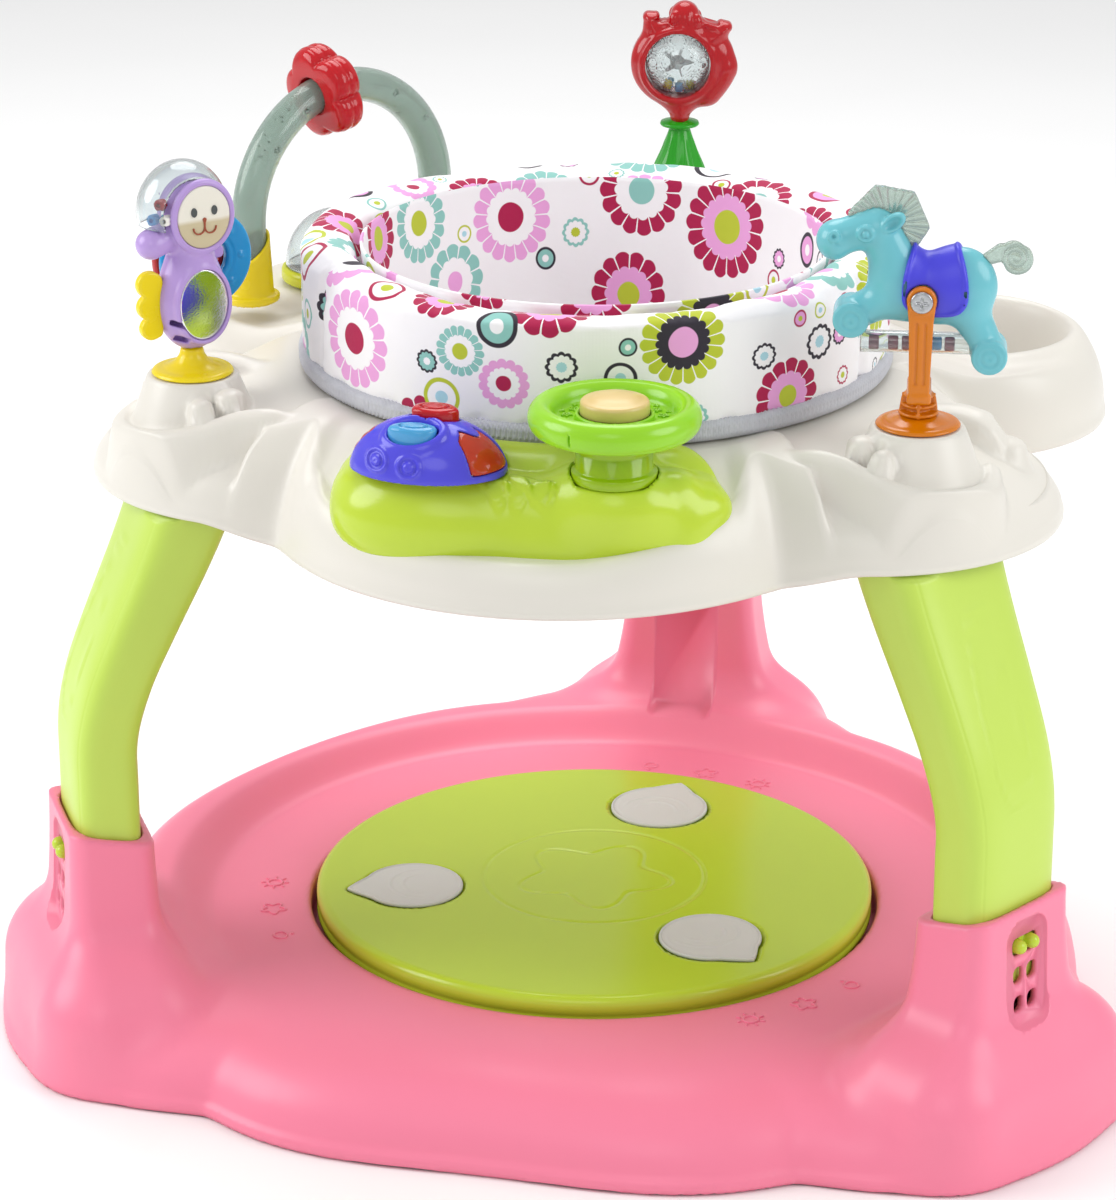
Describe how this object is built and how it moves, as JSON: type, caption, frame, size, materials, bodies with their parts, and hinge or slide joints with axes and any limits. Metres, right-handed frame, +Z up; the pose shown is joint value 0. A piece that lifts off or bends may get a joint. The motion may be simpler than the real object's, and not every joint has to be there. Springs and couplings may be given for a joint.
{
  "type": "baby activity jumper",
  "caption": "Free-standing baby jumper: bouncing foot pad in a moulded base, height-adjustable legs, lobed toy tray and a padded seat that turns.",
  "frame": {"origin": "middle of the whole object's box, on the floor", "axes": "+Z up; -Y towards the front, where the driving console is; +X to the right when the front is faced; one of the legs stands at the back on +Y"},
  "size_m": [0.7784, 0.7384, 0.6443],
  "materials": {
    "pink_plastic": "smooth moulded, softly glossy",
    "rubber_foot": "matt, fine grain",
    "white_plastic": "satin",
    "grey_plastic": "satin with fine embossing",
    "spring_steel": "drawn wire and turned steel",
    "lime_plastic": "smooth moulded, glossy",
    "cream_plastic": "smooth moulded, softly glossy",
    "seat_cotton": "woven cotton with a scattered flower and ring print",
    "green_plastic": "glossy",
    "peach_plastic": "glossy",
    "violet_plastic": "glossy",
    "red_clear_plastic": "see-through, glossy",
    "orange_clear_plastic": "see-through, glossy",
    "blue_clear_plastic": "see-through, glossy",
    "lavender_plastic": "smooth moulded, softly glossy",
    "mirror_film": "silvered plastic",
    "yellow_plastic": "glossy",
    "clear_plastic": "clear, glossy",
    "blue_plastic": "glossy",
    "red_plastic": "glossy",
    "orange_plastic": "satin",
    "turquoise_plastic": "smooth moulded, softly glossy",
    "smoke_plastic": "see-through, grey-green, glossy",
    "stem_plastic": "glossy",
    "yellow_green_plastic": "glossy"
  },
  "bodies": {
    "base": {"base_shell": "pink_plastic", "foot_left": "rubber_foot", "foot_right": "rubber_foot", "foot_rear": "rubber_foot", "sound_unit": "white_plastic", "battery_door": "grey_plastic"},
    "turntable": {"pad_turntable": "grey_plastic", "pad_spring": "spring_steel"},
    "pad": {"bounce_pad": "lime_plastic"},
    "tray": {"tray_shell": "cream_plastic", "leg_left": "lime_plastic", "leg_right": "lime_plastic", "leg_rear": "lime_plastic", "seat_track": "white_plastic", "console_shell": "lime_plastic", "wheel_neck": "green_plastic", "light_dome": "violet_plastic", "dome_window_left": "red_clear_plastic", "dome_window_right": "orange_clear_plastic", "seahorse_stand": "yellow_plastic", "horse_plate": "orange_plastic", "flower_stem": "stem_plastic", "arch_tube": "smoke_plastic", "arch_collar_front": "yellow_plastic", "arch_collar_back": "yellow_plastic", "popper_base": "yellow_green_plastic", "popper_dome": "clear_plastic"},
    "seat": {"seat_ring": "white_plastic", "seat_collar": "seat_cotton", "seat_sling": "seat_cotton"},
    "wheel": {"steering_wheel": "green_plastic"},
    "horn": {"horn_button": "peach_plastic"},
    "red_button": {"dome_button_red": "red_clear_plastic"},
    "blue_button": {"dome_button_blue": "blue_clear_plastic"},
    "seahorse": {"seahorse_body": "lavender_plastic", "seahorse_face": "white_plastic", "seahorse_mirror": "mirror_film", "seahorse_fin": "yellow_plastic", "seahorse_head_dome": "clear_plastic"},
    "blue_ring": {"toy_ring_blue": "blue_plastic"},
    "red_ring": {"toy_ring_red": "red_plastic"},
    "horse_fork": {"horse_post": "orange_plastic", "horse_bolt": "spring_steel"},
    "horse": {"horse_body": "turquoise_plastic", "horse_saddle": "violet_plastic", "horse_mane": "smoke_plastic", "horse_tail": "smoke_plastic", "horse_bead_tube": "clear_plastic"},
    "flower": {"flower_head": "red_plastic", "flower_lens_front": "clear_plastic", "flower_lens_back": "clear_plastic"},
    "rattle": {"flower_rattle": "blue_plastic"},
    "bead": {"arch_bead": "red_clear_plastic"},
    "spinner": {"popper_spinner": "orange_plastic"},
    "step_button_left": {"step_button_left": "grey_plastic"},
    "step_button_front": {"step_button_front": "grey_plastic"},
    "step_button_rear": {"step_button_rear": "grey_plastic"},
    "latch_left": {"latch_left": "lime_plastic"},
    "latch_right": {"latch_right": "lime_plastic"},
    "latch_rear": {"latch_rear": "lime_plastic"}
  },
  "joints": [
    {"name": "pad_turn", "type": "hinge", "parent": "base", "child": "turntable", "pos_m": [0, -0.048, 0.036], "axis": [0, 0, 1], "range_deg": [-11, 11]},
    {"name": "pad_bounce", "type": "slide", "parent": "turntable", "child": "pad", "axis": [0, 0, 1], "range_m": [-0.012, 0], "stiffness_N_per_m": 2500, "springref_m": 0.008, "deforming": ["pad_spring"]},
    {"name": "step_left", "type": "slide", "parent": "pad", "child": "step_button_left", "axis": [0, 0, 1], "range_m": [-0.0018, 0], "stiffness_N_per_m": 400, "springref_m": 0.001},
    {"name": "step_front", "type": "slide", "parent": "pad", "child": "step_button_front", "axis": [0, 0, 1], "range_m": [-0.0018, 0], "stiffness_N_per_m": 400, "springref_m": 0.001},
    {"name": "step_rear", "type": "slide", "parent": "pad", "child": "step_button_rear", "axis": [0, 0, 1], "range_m": [-0.0018, 0], "stiffness_N_per_m": 400, "springref_m": 0.001},
    {"name": "height_adjust", "type": "slide", "parent": "base", "child": "tray", "axis": [0, 0, 1], "range_m": [-0.04, 0], "deforming": ["latch_left", "latch_right", "latch_rear"]},
    {"name": "latch_press_left", "type": "slide", "parent": "tray", "child": "latch_left", "axis": [0.866, 0.5, 0], "range_m": [0, 0.008], "stiffness_N_per_m": 300, "springref_m": -0.003},
    {"name": "latch_press_right", "type": "slide", "parent": "tray", "child": "latch_right", "axis": [-0.866, 0.5, 0], "range_m": [0, 0.008], "stiffness_N_per_m": 300, "springref_m": -0.003},
    {"name": "latch_press_rear", "type": "slide", "parent": "tray", "child": "latch_rear", "axis": [0, -1, 0], "range_m": [0, 0.008], "stiffness_N_per_m": 300, "springref_m": -0.003},
    {"name": "seat_swivel", "type": "hinge", "parent": "tray", "child": "seat", "pos_m": [0, -0.048, 0.46], "axis": [0, 0, 1], "continuous": true},
    {"name": "wheel_turn", "type": "hinge", "parent": "tray", "child": "wheel", "pos_m": [0.067, -0.291, 0.49], "axis": [0, 0, 1], "continuous": true},
    {"name": "horn_press", "type": "slide", "parent": "wheel", "child": "horn", "axis": [0, 0, 1], "range_m": [-0.003, 0], "stiffness_N_per_m": 400, "springref_m": 0.002},
    {"name": "red_button_press", "type": "slide", "parent": "tray", "child": "red_button", "axis": [0, 0, 1], "range_m": [-0.003, 0], "stiffness_N_per_m": 300, "springref_m": 0.002},
    {"name": "blue_button_press", "type": "slide", "parent": "tray", "child": "blue_button", "axis": [0, 0, 1], "range_m": [-0.003, 0], "stiffness_N_per_m": 300, "springref_m": 0.002},
    {"name": "seahorse_spin", "type": "hinge", "parent": "tray", "child": "seahorse", "pos_m": [-0.23816, -0.1855, 0.47], "axis": [0, 0, 1], "continuous": true},
    {"name": "blue_ring_swing", "type": "hinge", "parent": "seahorse", "child": "blue_ring", "pos_m": [-0.22119, -0.16853, 0.5424], "axis": [-0.7071, 0.7071, 0], "range_deg": [-25, 25]},
    {"name": "red_ring_swing", "type": "hinge", "parent": "seahorse", "child": "red_ring", "pos_m": [-0.22119, -0.16853, 0.5424], "axis": [-0.7071, 0.7071, 0], "range_deg": [-25, 25]},
    {"name": "horse_swivel", "type": "hinge", "parent": "tray", "child": "horse_fork", "pos_m": [0.23816, -0.1855, 0.47], "axis": [0, 0, 1], "range_deg": [-30, 30]},
    {"name": "horse_rock", "type": "hinge", "parent": "horse_fork", "child": "horse", "pos_m": [0.23816, -0.1855, 0.5524], "axis": [-0.1392, 0.9903, 0], "range_deg": [-20, 20]},
    {"name": "flower_spin", "type": "hinge", "parent": "tray", "child": "flower", "pos_m": [0, 0.224, 0.55], "axis": [0, 0, 1], "continuous": true},
    {"name": "rattle_roll", "type": "hinge", "parent": "flower", "child": "rattle", "pos_m": [0, 0.224, 0.5904], "axis": [0, 1, 0], "continuous": true},
    {"name": "bead_slide", "type": "hinge", "parent": "tray", "child": "bead", "pos_m": [-0.21721, 0.09851, 0.5048], "axis": [-0.829, 0.5592, 0], "range_deg": [-50, 65]},
    {"name": "popper_spin", "type": "hinge", "parent": "tray", "child": "spinner", "pos_m": [-0.22219, 0.09084, 0.47], "axis": [0, 0, 1], "continuous": true}
  ]
}
